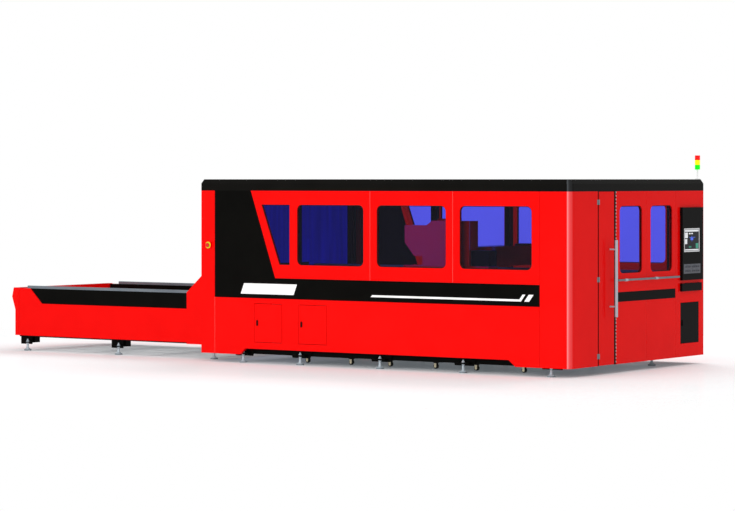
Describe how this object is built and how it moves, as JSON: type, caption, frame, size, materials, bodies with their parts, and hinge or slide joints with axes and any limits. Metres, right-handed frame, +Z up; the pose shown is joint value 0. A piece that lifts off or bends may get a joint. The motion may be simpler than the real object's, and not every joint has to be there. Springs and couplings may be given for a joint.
{
  "type": "enclosed fibre laser sheet-cutting machine with pallet exchange table",
  "caption": "Enclosed laser sheet-cutting machine: windowed cabin with gantry, saw-tooth pallets that shuttle to an exchange table, side door and operator console.",
  "frame": {"origin": "middle of the floor area, on the floor", "axes": "+X along the length towards the operator's end, -Y towards the near windowed wall, +Z up"},
  "size_m": [8.6184, 3.175, 2.4855],
  "materials": {
    "red_paint": "gloss",
    "dark_paint": "satin",
    "grey_paint": "satin",
    "steel": "ground",
    "worn_steel": "mill",
    "aluminium": "satin",
    "pane": "tinted",
    "black_plastic": "matte",
    "screen": "gloss",
    "key_grey": "matte",
    "yellow_plastic": "gloss",
    "red_plastic": "gloss",
    "green_lens": "gloss",
    "yellow_lens": "gloss",
    "castor": "matte"
  },
  "bodies": {
    "machine": {"bed_frame": "grey_paint", "levelling_feet": "steel", "x_guides": "steel", "pallet_tracks": "worn_steel", "scrap_carts": "dark_paint", "cart_castors": "castor", "table_frame": "dark_paint", "table_side_panels": "red_paint", "table_bands": "dark_paint", "table_end_cover": "red_paint", "table_top_rails": "steel", "shuttle_motor": "grey_paint", "enclosure_frame": "dark_paint", "corner_columns": "red_paint", "dark_bands": "dark_paint", "near_window_panels": "red_paint", "near_window_panes": "pane", "far_window_panes": "pane", "near_lower_wall": "red_paint", "far_wall_panels": "red_paint", "corner_panel": "red_paint", "end_window_panels": "red_paint", "end_window_panes": "pane", "console_panel": "red_paint", "roof": "dark_paint", "table_side_wall": "red_paint", "door_hinges": "steel", "grab_rail": "steel", "console_housing": "dark_paint", "monitor": "screen", "key_panel": "key_grey", "control_cabinet": "dark_paint", "stop_plate": "yellow_plastic", "tower_pole": "aluminium", "tower_lens_green": "green_lens", "tower_lens_yellow": "yellow_lens", "tower_lens_red": "red_plastic", "power_cabinet": "grey_paint"},
    "gantry": {"gantry_beam": "aluminium", "gantry_hoods": "red_paint", "gantry_drives": "dark_paint"},
    "carriage": {"head_carriage": "aluminium", "carriage_cover": "red_paint"},
    "head": {"head_slide": "steel", "cutting_head": "aluminium"},
    "upper_pallet": {"upper_pallet_frame": "grey_paint", "upper_pallet_slats": "worn_steel"},
    "lower_pallet": {"lower_pallet_frame": "grey_paint", "lower_pallet_slats": "worn_steel"},
    "gate": {"pallet_gate": "dark_paint"},
    "side_door": {"side_door": "red_paint", "door_handle": "steel"},
    "access_door_a": {"access_door_1": "red_paint"},
    "access_door_b": {"access_door_2": "red_paint"},
    "latch_a": {"access_latch_1": "black_plastic"},
    "latch_b": {"access_latch_2": "black_plastic"},
    "cabinet_door": {"cabinet_door": "dark_paint"},
    "cabinet_latch": {"cabinet_latch": "black_plastic"},
    "drawer": {"keyboard_drawer": "dark_paint"},
    "stop_button": {"stop_button": "red_plastic"}
  },
  "joints": [
    {"name": "gantry_travel", "type": "slide", "parent": "machine", "child": "gantry", "axis": [1, 0, 0], "range_m": [-2.569, 0.431]},
    {"name": "head_traverse", "type": "slide", "parent": "gantry", "child": "carriage", "axis": [0, 1, 0], "range_m": [-0.37, 1.13]},
    {"name": "head_lift", "type": "slide", "parent": "carriage", "child": "head", "axis": [0, 0, 1], "range_m": [-0.05, 0.07]},
    {"name": "upper_pallet_shuttle", "type": "slide", "parent": "machine", "child": "upper_pallet", "axis": [-1, 0, 0], "range_m": [0, 3.41]},
    {"name": "lower_pallet_shuttle", "type": "slide", "parent": "machine", "child": "lower_pallet", "axis": [1, 0, 0], "range_m": [0, 3.41]},
    {"name": "gate_lift", "type": "slide", "parent": "machine", "child": "gate", "axis": [0, 0, 1], "range_m": [0, 0.27]},
    {"name": "side_door_swing", "type": "hinge", "parent": "machine", "child": "side_door", "pos_m": [4.21475, -0.94, 1.08], "axis": [0, 0, -1], "range_deg": [0, 110]},
    {"name": "access_swing_a", "type": "hinge", "parent": "machine", "child": "access_door_a", "pos_m": [0.23525, -1.555, 0.4855], "axis": [0, 0, 1], "range_deg": [0, 100]},
    {"name": "access_swing_b", "type": "hinge", "parent": "machine", "child": "access_door_b", "pos_m": [0.88825, -1.555, 0.4855], "axis": [0, 0, 1], "range_deg": [0, 100]},
    {"name": "latch_turn_a", "type": "hinge", "parent": "access_door_a", "child": "latch_a", "pos_m": [-0.11775, -1.563, 0.4855], "axis": [0, 1, 0], "range_deg": [0, 90]},
    {"name": "latch_turn_b", "type": "hinge", "parent": "access_door_b", "child": "latch_b", "pos_m": [0.53525, -1.563, 0.4855], "axis": [0, 1, 0], "range_deg": [0, 90]},
    {"name": "cabinet_swing", "type": "hinge", "parent": "machine", "child": "cabinet_door", "pos_m": [4.20075, 1.431, 0.5005], "axis": [0, 0, 1], "range_deg": [0, 100]},
    {"name": "cabinet_latch_turn", "type": "hinge", "parent": "cabinet_door", "child": "cabinet_latch", "pos_m": [4.20875, 1.036, 0.5005], "axis": [1, 0, 0], "range_deg": [0, 90]},
    {"name": "drawer_pull", "type": "slide", "parent": "machine", "child": "drawer", "axis": [1, 0, 0], "range_m": [0, 0.26]},
    {"name": "stop_press", "type": "slide", "parent": "machine", "child": "stop_button", "axis": [0, 1, 0], "range_m": [0, 0.006], "stiffness_N_per_m": 2500}
  ],
  "couplings": [
    {"joint": "lower_pallet_shuttle", "follows": "upper_pallet_shuttle", "ratio": 1}
  ]
}
